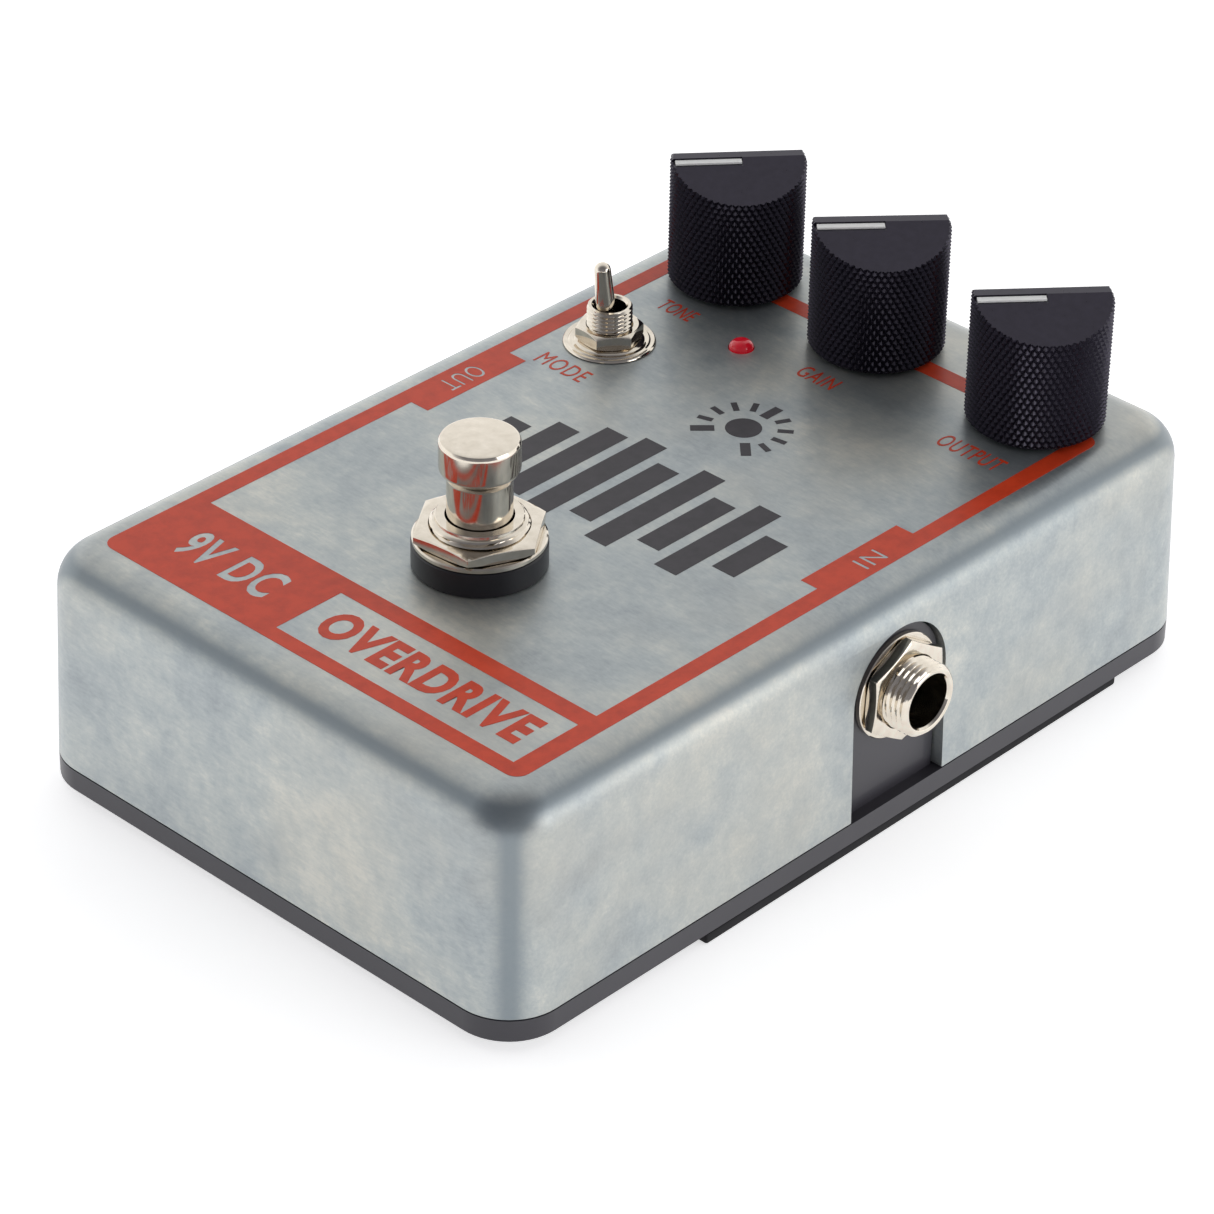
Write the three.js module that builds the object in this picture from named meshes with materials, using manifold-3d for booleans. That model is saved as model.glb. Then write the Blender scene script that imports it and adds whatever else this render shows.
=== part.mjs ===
// Guitar effects pedal: a drafted metal housing over a black base tray, three knurled knobs, a mode
// toggle, a foot switch, two quarter-inch sockets carried by upright ears of the tray, and the works.
// Millimetres, +Z up, +X to the player's right (input socket), +Y to the back (knobs).
// The origin is the middle of the footprint on the surface that the pedal stands on.
import * as THREE from "three";
import { mergeVertices } from "three/addons/utils/BufferGeometryUtils.js";
import Module from "manifold-3d";

const wasm = await Module();
wasm.setup();

// Driving dimensions
const WIDTH = 81; // housing across its lower edge
const LENGTH = 123; // housing front to back along its lower edge
const PAD_HEIGHT = 1.4; // rubber pad under the tray
const LIP_HEIGHT = 3.2; // visible edge of the tray, seam included
const SHELL_HEIGHT = 28.4; // housing above the tray
const CORNER_RADIUS = 7.4; // upright corners of the housing and tray
const EDGE_RADIUS = 4.8; // rounding from the sides to the top
const DRAFT = Math.tan(THREE.MathUtils.degToRad(1.6)); // lean of the housing's sides
const WALL = 1.8; // housing wall
const SEAM = 0.2; // gap between the housing and the tray
const TRAY_FLOOR = 1.8; // tray plate
const EAR_RECESS = 1.55; // outer face of an ear behind the housing's lower edge
const EAR_THICKNESS = 2.4;
const SLOT_WIDTH = 16.6; // side slots for the quarter-inch sockets
const DC_SLOT_WIDTH = 15; // back slot for the power socket
const SLOT_CLEARANCE = 0.3; // ear to slot
const SOCKET_Z = 20; // axis of the quarter-inch sockets
const INPUT_Y = 4.4;
const OUTPUT_Y = 0.8;
const DC_Z = 12.5; // axis of the power socket
const KNOB_Y = 46.2;
const KNOB_X = { tone: -25.1, gain: -0.9, output: 25.1 };
const KNOB_REST = { tone: 49, gain: 47.5, output: 48.3 }; // degrees, with the pots fully down
const KNOB_RADIUS = 8.8;
const KNOB_TOP = 17.6; // ridge above the housing's top
const KNOB_GAP = 0.5; // underside above the housing's top
const FOOTSWITCH = [0, -25.7];
const TOGGLE = [-25.2, 22.7];
const TOGGLE_TILT = THREE.MathUtils.degToRad(7); // lever off upright, towards the front at rest
const TOGGLE_PIVOT = -1; // lever's pivot from the housing's top
const LED = [-12.3, 33.4];
const SCREW_X = 34.5;
const SCREW_Y = 55.5;

// Worked out from the driving dimensions
const SEAM_Z = PAD_HEIGHT + LIP_HEIGHT;
const TOP_Z = SEAM_Z + SHELL_HEIGHT;
const UNDER_TOP = -WALL - 0.1; // just below the housing's top wall, from its top
const TRAY_TOP = PAD_HEIGHT + TRAY_FLOOR;

// Materials
function finish(color, roughness, metalness) {
  return new THREE.MeshStandardMaterial({ color, roughness, metalness });
}
const ZINC = finish(0x9aa3a7, 0.42, 0.85);
const BLACK_METAL = finish(0x3a373c, 0.55, 0.3);
const RUBBER = finish(0x1f1e20, 0.9, 0);
const BLACK_ANODISED = finish(0x222028, 0.4, 0.7);
const NICKEL = finish(0xd8d0c0, 0.2, 1);
const STEEL = finish(0xb8bcc0, 0.35, 1);
const BLACK_NYLON = finish(0x17161a, 0.45, 0);
const WHITE_PAINT = finish(0xf2f2f0, 0.5, 0);
const RED_LENS = finish(0xd0101c, 0.15, 0);
const PLASTIC = finish(0x24252a, 0.5, 0);
const BLUE_PLASTIC = finish(0x2a4a86, 0.5, 0);
const BOARD_GREEN = finish(0x1f5a3a, 0.5, 0);
const BATTERY_SKIN = finish(0x3a3f48, 0.45, 0.2);
const RED_WIRE = finish(0xb02020, 0.5, 0);
const BLACK_WIRE = finish(0x151515, 0.5, 0);
const GREY_WIRE = finish(0x8d9094, 0.5, 0);

// Solids
const SIDES = 16; // of a small round piece
const FINE_SIDES = 24; // of a large one
const CORNER_STEPS = 2; // facets in half of an upright corner

function solid(geometry) {
  const flat = geometry.clone();
  flat.deleteAttribute("normal");
  flat.deleteAttribute("uv");
  const merged = mergeVertices(flat, 1e-4);
  return new wasm.Manifold(
    new wasm.Mesh({
      numProp: 3,
      vertProperties: merged.attributes.position.array,
      triVerts: new Uint32Array(merged.index.array),
    }),
  );
}

function geometryOf(made) {
  const mesh = made.getMesh();
  const geometry = new THREE.BufferGeometry();
  geometry.setAttribute("position", new THREE.BufferAttribute(mesh.vertProperties, 3));
  geometry.setIndex(new THREE.BufferAttribute(mesh.triVerts, 1));
  return geometry;
}

function joined(geometry, others) {
  return geometryOf(others.reduce((made, other) => made.add(solid(other)), solid(geometry)));
}

function cut(geometry, tools) {
  return geometryOf(tools.reduce((made, tool) => made.subtract(solid(tool)), solid(geometry)));
}

// A shape turned about Z from [radius, z] pairs that run up the outside and close on the axis or bore.
function turned(profile, sides = SIDES) {
  const points = profile.map(([r, z]) => new THREE.Vector2(r, z));
  return new THREE.LatheGeometry(points, sides).rotateX(Math.PI / 2);
}

function rod(radius, low, high, sides = SIDES) {
  return turned([[0, low], [radius, low], [radius, high], [0, high]], sides);
}

function ring(radius, bore, low, high, sides = SIDES) {
  return turned([[bore, low], [radius, low], [radius, high], [bore, high], [bore, low]], sides);
}

function block(x, y, z, centre) {
  return new THREE.BoxGeometry(x, y, z).translate(...centre);
}

function hexNut(acrossFlats, bore, low, high) {
  const corner = acrossFlats / 2 / Math.cos(Math.PI / 6);
  return cut(rod(corner, low, high, 6), [rod(bore, low - 1, high + 1)]);
}

function roundedRectangle(width, length, radius) {
  const x = width / 2;
  const y = length / 2;
  const shape = new THREE.Shape();
  for (let quarter = 0; quarter < 4; quarter++) {
    const right = quarter % 3 === 0 ? 1 : -1;
    const back = quarter < 2 ? 1 : -1;
    const start = (quarter * Math.PI) / 2;
    shape.absarc(right * (x - radius), back * (y - radius), radius, start, start + Math.PI / 2);
  }
  return shape;
}

function plate(width, length, radius, low, high) {
  const options = { depth: high - low, bevelEnabled: false, curveSegments: CORNER_STEPS };
  return new THREE.ExtrudeGeometry(roundedRectangle(width, length, radius), options).translate(0, 0, low);
}

// A cup-shaped body's outside or inside: sides that lean in by the draft, and a rounded upper edge.
function drafted(width, length, corner, height, edge) {
  const geometry = new THREE.ExtrudeGeometry(roundedRectangle(width, length, corner), {
    depth: height - edge,
    bevelThickness: edge,
    bevelSize: edge,
    bevelOffset: -edge,
    bevelSegments: 3,
    curveSegments: CORNER_STEPS,
  });
  const position = geometry.attributes.position;
  for (let i = 0; i < position.count; i++) {
    const z = position.getZ(i);
    position.setX(i, position.getX(i) * (1 - (DRAFT * z) / (width / 2)));
    position.setY(i, position.getY(i) * (1 - (DRAFT * z) / (length / 2)));
  }
  const skirt = block(2 * width, 2 * length, 2 * edge, [0, 0, -edge]);
  return cut(geometry, [skirt]).translate(0, 0, SEAM_Z);
}

// An upright plate with a round top: X across, Y up, extruded along Z by thickness.
function arch(width, bottom, centre, thickness) {
  const half = width / 2;
  const shape = new THREE.Shape();
  shape.moveTo(-half, bottom);
  shape.lineTo(half, bottom);
  shape.lineTo(half, centre);
  shape.absarc(0, centre, half, 0, Math.PI, false);
  shape.lineTo(-half, bottom);
  const options = { depth: thickness, bevelEnabled: false, curveSegments: 6 };
  return new THREE.ExtrudeGeometry(shape, options);
}

// Stands an arch in the wall that faces along `turn` about Z (0 is the right wall), its outer face
// `out` from the middle and its middle line `along` the wall.
function standing(geometry, thickness, out, turn, along) {
  const upright = geometry.clone().rotateX(Math.PI / 2).rotateZ(Math.PI / 2);
  return upright.translate(out - thickness, along, 0).rotateZ(turn);
}

// The scene graph
const pedal = new THREE.Group();

function node(name, geometry, material, parent = pedal) {
  const mesh = new THREE.Mesh(geometry, material);
  mesh.name = name;
  parent.add(mesh);
  return mesh;
}

function groupAt(x, y, z, turn = 0) {
  const group = new THREE.Group();
  group.position.set(x, y, z);
  group.rotation.z = turn;
  pedal.add(group);
  return group;
}

// Walls that carry a socket on an ear of the tray
const RIGHT = 0;
const BACK = Math.PI / 2;
const LEFT = Math.PI;
const SIDE_SLOT = { out: WIDTH / 2, z: SOCKET_Z, width: SLOT_WIDTH, hole: 5 };
const SOCKETS = [
  { turn: RIGHT, along: INPUT_Y, ...SIDE_SLOT },
  { turn: LEFT, along: -OUTPUT_Y, ...SIDE_SLOT },
  { turn: BACK, along: 0, out: LENGTH / 2, z: DC_Z, width: DC_SLOT_WIDTH, hole: 5.7 },
];
const SCREWS = [];
for (const y of [-SCREW_Y, SCREW_Y]) for (const x of [-SCREW_X, SCREW_X]) SCREWS.push([x, y]);

// Housing: one drafted shell, open below, with screw posts, control holes and three slots
const POST_RADIUS = 3.6;
const POST_BORE = 1.65;
const BORE_TOP = TOP_Z - 4.5; // blind, well below the rounded edge
const SLOT_DEPTH = 7; // of the cutter that opens a slot in a wall
const HOLES = [
  ...Object.values(KNOB_X).map((x) => [x, KNOB_Y, 3.7]),
  [...FOOTSWITCH, 6.3],
  [...TOGGLE, 3.25],
  [...LED, 1.7],
];
function housing() {
  const outside = drafted(WIDTH, LENGTH, CORNER_RADIUS, SHELL_HEIGHT, EDGE_RADIUS);
  const inner = [WIDTH - 2 * WALL, LENGTH - 2 * WALL, CORNER_RADIUS - WALL];
  const posts = SCREWS.map(([x, y]) => rod(POST_RADIUS, SEAM_Z - 1, TOP_Z, 10).translate(x, y, 0));
  const room = cut(drafted(...inner, SHELL_HEIGHT - WALL, EDGE_RADIUS - WALL), posts);
  const bores = SCREWS.map(([x, y]) => rod(POST_BORE, SEAM_Z - 1, BORE_TOP, 10).translate(x, y, 0));
  const holes = HOLES.map(([x, y, radius]) => rod(radius, TOP_Z - 3 * WALL, TOP_Z + 1).translate(x, y, 0));
  const slots = SOCKETS.map((s) => {
    const slot = arch(s.width, SEAM_Z - 1, s.z, SLOT_DEPTH);
    return standing(slot, SLOT_DEPTH, s.out + 1, s.turn, s.along);
  });
  return cut(outside, [room, ...bores, ...holes, ...slots]);
}
node("housing", housing(), ZINC);

// Base tray: floor, rim under the housing's edge, three ears, and screw holes with countersinks
const RIM = 2.6;
const EAR_FOOT = PAD_HEIGHT + 0.5; // where an ear grows from the floor
const DRILL_LENGTH = 12;
const COUNTERSINK = [[0, -1], [3.2, -1], [3.2, 0.2], [1.7, 1.7], [1.7, 5], [0, 5]];
function baseTray() {
  const slab = plate(WIDTH, LENGTH, CORNER_RADIUS, PAD_HEIGHT, SEAM_Z - SEAM);
  const pocket = [WIDTH - 2 * RIM, LENGTH - 2 * RIM, CORNER_RADIUS - RIM];
  const tray = cut(slab, [plate(...pocket, TRAY_TOP, SEAM_Z + 1)]);
  const ears = SOCKETS.map((s) => {
    const ear = arch(s.width - 2 * SLOT_CLEARANCE, EAR_FOOT, s.z, EAR_THICKNESS);
    return standing(ear, EAR_THICKNESS, s.out - EAR_RECESS, s.turn, s.along);
  });
  const drills = SOCKETS.map((s) => {
    const drill = rod(s.hole, 0, DRILL_LENGTH).rotateY(Math.PI / 2);
    return drill.translate(s.out - EAR_RECESS - DRILL_LENGTH / 2, s.along, s.z).rotateZ(s.turn);
  });
  const sinks = SCREWS.map(([x, y]) => turned(COUNTERSINK, 12).translate(x, y, PAD_HEIGHT));
  return cut(joined(tray, ears), [...drills, ...sinks]);
}
node("base_tray", baseTray(), BLACK_METAL);

// Foot pad: stuck under the tray between the two pairs of screws, a little wider at the front
const PAD_OUTLINE = [[-40.5, -29], [40.5, -29], [40.1, 47.2], [-40.1, 47.2]];
function footPad() {
  const shape = new THREE.Shape(PAD_OUTLINE.map(([x, y]) => new THREE.Vector2(x, y)));
  return new THREE.ExtrudeGeometry(shape, { depth: PAD_HEIGHT, bevelEnabled: false });
}
node("foot_pad", footPad(), RUBBER);

// Four countersunk base screws with crossed recesses, driven from below into the housing's posts
const BASE_SCREW = [[0, 0.25], [2.9, 0.25], [1.5, 1.65], [1.5, 10], [0, 10]];
const CROSS = { length: 3.4, width: 0.7, depth: 0.8 };
function baseScrew() {
  const middle = [0, 0, CROSS.depth / 2];
  const along = block(CROSS.length, CROSS.width, CROSS.depth, middle);
  const across = block(CROSS.width, CROSS.length, CROSS.depth, middle);
  return cut(turned(BASE_SCREW, 12), [along, across]);
}
SCREWS.forEach(([x, y], i) => {
  node("base_screw_" + (i + 1), baseScrew(), STEEL, groupAt(x, y, PAD_HEIGHT));
});

// Potentiometer: can and threaded bushing in one, shaft, washer and nut, under each knob
const POT_BUSHING = 3.45;
const POT_BORE = 3.6; // of the washer and the nut
const POT_CAN = { radius: 8.2, height: 9 };
const SHAFT_RADIUS = 3;
function potBody() {
  const can = rod(POT_CAN.radius, UNDER_TOP - POT_CAN.height, UNDER_TOP);
  const bushing = rod(POT_BUSHING, UNDER_TOP - 1, 4);
  const lugs = block(12, 4, 1, [0, -9.4, UNDER_TOP - 5]);
  return cut(joined(can, [bushing, lugs]), [rod(SHAFT_RADIUS + 0.1, UNDER_TOP - 6.5, 5)]);
}

// Knob: knurled barrel hollowed over the nut, its top cut to a flat ridge on the diameter with a
// long shallow face on one side and a short steep one on the other. The ridge runs along local X.
const RIDGE_WIDTH = 1.5;
const NEAR_SLOPE = THREE.MathUtils.degToRad(16.5);
const FAR_SLOPE = THREE.MathUtils.degToRad(37);
const POINTER_WIDTH = 1.5;
const POINTER_DEPTH = 0.45;
const POINTER_END = 0.4; // just past the knob's axis
const KNOB_CHAMFER = 0.5;
const KNOB_HOLLOW = { radius: 6.7, top: 4.4 };
const KNOB_BORE = { radius: SHAFT_RADIUS + 0.08, top: 13.2 };
const SET_SCREW_Z = 8.5;
function knobBody() {
  const barrel = turned([
    [0, KNOB_GAP],
    [KNOB_RADIUS - KNOB_CHAMFER, KNOB_GAP],
    [KNOB_RADIUS, KNOB_GAP + KNOB_CHAMFER],
    [KNOB_RADIUS, KNOB_TOP - 2 * KNOB_CHAMFER],
    [KNOB_RADIUS - KNOB_CHAMFER, KNOB_TOP],
    [0, KNOB_TOP],
  ], FINE_SIDES);
  const wedge = block(40, 40, 20, [0, -20, 10]);
  const near = wedge.clone().rotateX(NEAR_SLOPE).translate(0, 0, KNOB_TOP);
  const far = wedge.clone().rotateZ(Math.PI).rotateX(-FAR_SLOPE).translate(0, RIDGE_WIDTH, KNOB_TOP);
  const length = KNOB_RADIUS + 1;
  const width = POINTER_WIDTH + 1;
  const height = 2;
  const step = [POINTER_END - length / 2, 0.04 - width / 2, KNOB_TOP - POINTER_DEPTH + height / 2];
  const hollow = rod(KNOB_HOLLOW.radius, 0, KNOB_HOLLOW.top);
  const bore = rod(KNOB_BORE.radius, KNOB_HOLLOW.top - 1, KNOB_BORE.top);
  const screwHole = rod(1.6, 0, 12, 12).rotateX(-Math.PI / 2).translate(0, 1, SET_SCREW_Z);
  return cut(barrel, [near, far, block(length, width, height, step), hollow, bore, screwHole]);
}
function pointer() {
  const length = KNOB_RADIUS - 0.3;
  const thickness = 0.25;
  const z = KNOB_TOP - POINTER_DEPTH + 0.03 + thickness / 2;
  const x = POINTER_END - 0.1 - length / 2;
  return block(length, POINTER_WIDTH - 0.5, thickness, [x, -POINTER_WIDTH / 2 + 0.15, z]);
}
function setScrew() {
  const made = cut(rod(1.5, 0, 4, 12), [rod(0.8, 2.6, 5, 6)]);
  return made.rotateX(-Math.PI / 2).translate(0, SHAFT_RADIUS + 0.3, SET_SCREW_Z);
}
for (const [name, x] of Object.entries(KNOB_X)) {
  const pot = groupAt(x, KNOB_Y, TOP_Z);
  node("pot_body_" + name, potBody(), STEEL, pot);
  node("pot_washer_" + name, ring(5.8, POT_BORE, 0.05, 0.6), STEEL, pot);
  node("pot_nut_" + name, hexNut(10, POT_BORE, 0.65, 2.6), NICKEL, pot);
  const control = groupAt(x, KNOB_Y, TOP_Z, THREE.MathUtils.degToRad(KNOB_REST[name]));
  node("pot_shaft_" + name, rod(SHAFT_RADIUS, UNDER_TOP - 6.2, KNOB_BORE.top - 0.2), STEEL, control);
  node("knob_" + name, knobBody(), BLACK_ANODISED, control);
  node("knob_pointer_" + name, pointer(), WHITE_PAINT, control);
  node("knob_set_screw_" + name, setScrew(), STEEL, control);
}

// Mode toggle: body and threaded bushing below, domed washer and nut on top, lever on its ball
const TOGGLE_BUSHING = 2.95;
const TOGGLE_BORE = 2.15;
const DRESS_WASHER = [[3.1, 0.05], [5.94, 0.05], [5.94, 0.25], [5.2, 0.6], [3.1, 0.6], [3.1, 0.05]];
function toggleBushing() {
  const bracketHole = rod(TOGGLE_BORE, UNDER_TOP - 3, UNDER_TOP + 1);
  const bracket = cut(block(7.8, 13, 0.6, [0, 0, UNDER_TOP - 0.5]), [bracketHole]);
  return joined(ring(TOGGLE_BUSHING, TOGGLE_BORE, UNDER_TOP - 1.2, 5.4), [bracket]);
}
const toggle = groupAt(...TOGGLE, TOP_Z);
node("toggle_bushing", toggleBushing(), NICKEL, toggle);
node("toggle_body", block(7.6, 12.8, 8.8, [0, 0, UNDER_TOP - 5.8]), BLUE_PLASTIC, toggle);
node("toggle_washer", turned(DRESS_WASHER), NICKEL, toggle);
node("toggle_nut", hexNut(7.6, TOGGLE_BUSHING + 0.15, 0.65, 2.6), NICKEL, toggle);
function toggleLever() {
  const stem = [[0, -1.9], [1.3, -1.5], [1.9, 0], [1.3, 1.4], [1.0, 2.2], [1.2, 5]];
  const tip = [[1.05, 12], [0.8, 12.6], [0, 12.9]];
  return turned([...stem, ...tip], 12);
}
const lever = new THREE.Group();
lever.position.z = TOGGLE_PIVOT;
lever.rotation.x = TOGGLE_TILT;
toggle.add(lever);
node("toggle_lever", toggleLever(), NICKEL, lever);

// Foot switch: body and long threaded bushing, two nuts, washer and nylon spacer, sprung button
const BUSHING = 6;
const BUTTON_NECK = 3.95;
const THROAT = BUTTON_NECK + 0.2;
const BODY_TOP = -9;
const SWITCH_BODY = { side: 17.2, height: 12.5 };
const LUG_PITCH = 5;
const SPACER_BORE = 6.3; // of the spacer and washer
function footswitchBushing() {
  return turned([
    [THROAT, BODY_TOP],
    [BUSHING, BODY_TOP],
    [BUSHING, 5.9],
    [5.4, 6.2],
    [5.35, 6.6],
    [4.8, 7.1],
    [THROAT + 0.1, 7],
    [THROAT, 6.8],
    [THROAT, BODY_TOP],
  ], FINE_SIDES);
}
function footswitchBody() {
  const { side, height } = SWITCH_BODY;
  const lugs = [];
  for (const x of [-LUG_PITCH, 0, LUG_PITCH])
    for (const y of [-LUG_PITCH, 0, LUG_PITCH])
      lugs.push(block(2.6, 0.9, 4, [x, y, BODY_TOP - height - 1.5]));
  return joined(block(side, side, height, [0, 0, BODY_TOP - height / 2 - 0.05]), lugs);
}
function footswitchButton() {
  return turned([
    [0, -3.5],
    [BUTTON_NECK, -3.5],
    [BUTTON_NECK, 11.9],
    [4.8, 13],
    [4.87, 13.3],
    [4.87, 16.6],
    [4.45, 17.1],
    [0, 17.1],
  ], FINE_SIDES);
}
function footswitchNut(low) {
  return hexNut(14.2, BUSHING + 0.25, low, low + 1.5);
}
const footswitch = groupAt(...FOOTSWITCH, TOP_Z);
node("footswitch_spacer", ring(8.15, SPACER_BORE, 0.05, 3.2, FINE_SIDES), BLACK_NYLON, footswitch);
node("footswitch_washer", ring(8.05, SPACER_BORE, 3.25, 3.95, FINE_SIDES), NICKEL, footswitch);
node("footswitch_nut", footswitchNut(4), NICKEL, footswitch);
node("footswitch_inner_nut", footswitchNut(UNDER_TOP - 1.7), NICKEL, footswitch);
node("footswitch_bushing", footswitchBushing(), NICKEL, footswitch);
node("footswitch_body", footswitchBody(), BLUE_PLASTIC, footswitch);
node("footswitch_spring", ring(3.8, 3, BODY_TOP + 0.15, -3.7), STEEL, footswitch);
node("footswitch_button", footswitchButton(), NICKEL, footswitch);

// Quarter-inch sockets: threaded sleeve, washer and nut outside the ear, body inside
const SLEEVE = 4.76;
const SLEEVE_OUT = 4.2; // end of the sleeve beyond the housing's lower edge
const SOCKET_BORE = 3.3;
const NUT_BORE = 4.9;
const EAR_INSIDE = -EAR_RECESS - EAR_THICKNESS;
const FLANGE = { radius: 6.6, low: EAR_INSIDE - 1.6, high: EAR_INSIDE - 0.1 };
const SOCKET_BODY = { width: 13, height: 14.5, length: 23 };
function socketSleeve() {
  return turned([
    [SOCKET_BORE, FLANGE.low],
    [FLANGE.radius, FLANGE.low],
    [FLANGE.radius, FLANGE.high],
    [SLEEVE, FLANGE.high],
    [SLEEVE, SLEEVE_OUT - 0.5],
    [SLEEVE - 0.45, SLEEVE_OUT],
    [SOCKET_BORE + 0.3, SLEEVE_OUT],
    [SOCKET_BORE, SLEEVE_OUT - 0.9],
    [SOCKET_BORE, FLANGE.low],
  ]);
}
function socketBody() {
  const { width, height, length } = SOCKET_BODY;
  const front = FLANGE.low - 0.1;
  const made = block(width, height, length, [0, 0, front - length / 2]);
  return cut(made, [rod(SOCKET_BORE, front - length + 1.5, front + 1)]);
}
const QUARTER_INCH = [["input", SOCKETS[0]], ["output", SOCKETS[1]]];
for (const [name, s] of QUARTER_INCH) {
  const wall = groupAt(0, 0, 0, s.turn);
  const axis = new THREE.Group();
  axis.position.set(s.out, s.along, s.z);
  axis.rotation.y = Math.PI / 2;
  wall.add(axis);
  node(name + "_socket_sleeve", socketSleeve(), NICKEL, axis);
  node(name + "_socket_body", socketBody(), PLASTIC, axis);
  node(name + "_socket_washer", ring(6.86, NUT_BORE, -EAR_RECESS + 0.05, -0.75), NICKEL, axis);
  node(name + "_socket_nut", hexNut(12, NUT_BORE, -0.7, 1), NICKEL, axis);
}

// Power socket on the back ear: round body, retaining ring and centre pin
const POWER_BODY = 5.5;
const POWER_DEEP = -9.6; // bottom of the socket's bore
function powerSocketBody() {
  const body = joined(rod(POWER_BODY, -14, -0.5), [rod(FLANGE.radius, FLANGE.low, FLANGE.high)]);
  return cut(body, [rod(3, POWER_DEEP, 0)]);
}
const back = new THREE.Group();
back.position.set(0, LENGTH / 2, DC_Z);
back.rotation.x = -Math.PI / 2;
pedal.add(back);
node("power_socket_body", powerSocketBody(), PLASTIC, back);
node("power_socket_ring", ring(7, POWER_BODY + 0.15, -EAR_RECESS + 0.05, -0.3), NICKEL, back);
node("power_socket_pin", rod(1.05, POWER_DEEP + 0.1, -1.2, 12), NICKEL, back);

// Indicator lamp: domed red lens with a flange under the housing's top
const LENS_FLANGE = [[0, -5.4], [1.9, -5.4], [1.9, -4.4], [1.5, -4.4]];
const LENS = [...LENS_FLANGE, [1.5, 0.1], [1.3, 0.85], [0.75, 1.4], [0, 1.6]];
node("indicator_lens", turned(LENS, 12), RED_LENS, groupAt(...LED, TOP_Z));

// Circuit board under the pots, with its larger components on the underside
const BOARD = { width: 66, length: 36, thickness: 1.6, y: 33, top: 20.4 };
const CHIP = { width: 9.6, length: 6.4, height: 3.6, x: 12, y: 30 };
const CAPACITOR = { radius: 3.2, height: 9, x: 24, y: 24 };
function circuitBoard() {
  const middle = [0, BOARD.y, BOARD.top - BOARD.thickness / 2];
  const board = block(BOARD.width, BOARD.length, BOARD.thickness, middle);
  const under = BOARD.top - 1; // the components' tops are sunk in the board to be one piece with it
  const components = [];
  for (const side of [-1, 1]) {
    const chipMiddle = [side * CHIP.x, CHIP.y, under - CHIP.height / 2 - 0.4];
    components.push(block(CHIP.width, CHIP.length, CHIP.height, chipMiddle));
    const can = rod(CAPACITOR.radius, under - CAPACITOR.height, under, 12);
    components.push(can.translate(side * CAPACITOR.x, CAPACITOR.y, 0));
  }
  return joined(board, components);
}
node("circuit_board", circuitBoard(), BOARD_GREEN);

// Nine-volt battery on its long edge in front of the foot switch, with its snap and leads
const BATTERY_Y = -48.3;
const BATTERY = { length: 48.5, depth: 17.5, height: 26.5, z: 17, terminal: 6.4 };
const battery = groupAt(0, BATTERY_Y, BATTERY.z);
function batteryCell() {
  const cell = block(BATTERY.length, BATTERY.depth, BATTERY.height, [0, 0, 0]);
  const end = BATTERY.length / 2;
  const terminal = rod(2.9, end - 0.2, end + 2.3, 12).rotateY(Math.PI / 2);
  const pair = [-BATTERY.terminal, BATTERY.terminal].map((z) => terminal.clone().translate(0, 0, z));
  return joined(cell, pair);
}
node("battery", batteryCell(), BATTERY_SKIN, battery);
node("battery_snap", block(2, 12.5, 24, [27.8, 0, 0]), BLACK_NYLON, battery);

// A round wire through the given points.
function wire(points, radius) {
  const curve = new THREE.CatmullRomCurve3(points.map((p) => new THREE.Vector3(...p)));
  const section = new THREE.Shape().absarc(0, 0, radius, 0, 2 * Math.PI, false);
  const options = { extrudePath: curve, steps: 10, curveSegments: 3, bevelEnabled: false };
  return new THREE.ExtrudeGeometry(section, options);
}
const LEADS = [["battery_lead_red", RED_WIRE, 28], ["battery_lead_black", BLACK_WIRE, 25.4]];
const LEAD_ROUTE = [[BATTERY_Y + 6.7, 8], [-36, 6], [-16, 5.6], [4, 5.6], [15, 9], [19, 18.4]];
for (const [name, material, x] of LEADS)
  node(name, wire(LEAD_ROUTE.map(([y, z]) => [x, y, z]), 0.8), material);

// Flat cable from the foot switch's lugs to the board
const CABLE_ROUTE = [[0, -16.3, 8.6], [0, -8, 6.5], [0, 4, 7.5], [0, 12, 12], [0, 15.5, 18.4]];
const CABLE_HALF_WIDTH = 6;
const CABLE_HALF_THICKNESS = 0.5;
function flatCable() {
  const curve = new THREE.CatmullRomCurve3(CABLE_ROUTE.map((p) => new THREE.Vector3(...p)));
  const corners = [[-1, -1], [1, -1], [1, 1], [-1, 1]];
  const half = [CABLE_HALF_WIDTH, CABLE_HALF_THICKNESS];
  const outline = corners.map(([x, y]) => new THREE.Vector2(x * half[0], y * half[1]));
  const options = { extrudePath: curve, steps: 14, bevelEnabled: false };
  return new THREE.ExtrudeGeometry(new THREE.Shape(outline), options);
}
node("flat_cable", flatCable(), GREY_WIRE);

export default pedal;
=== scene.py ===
import math
from collections import namedtuple

import bmesh
import bpy
from mathutils import Matrix, Vector


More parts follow.
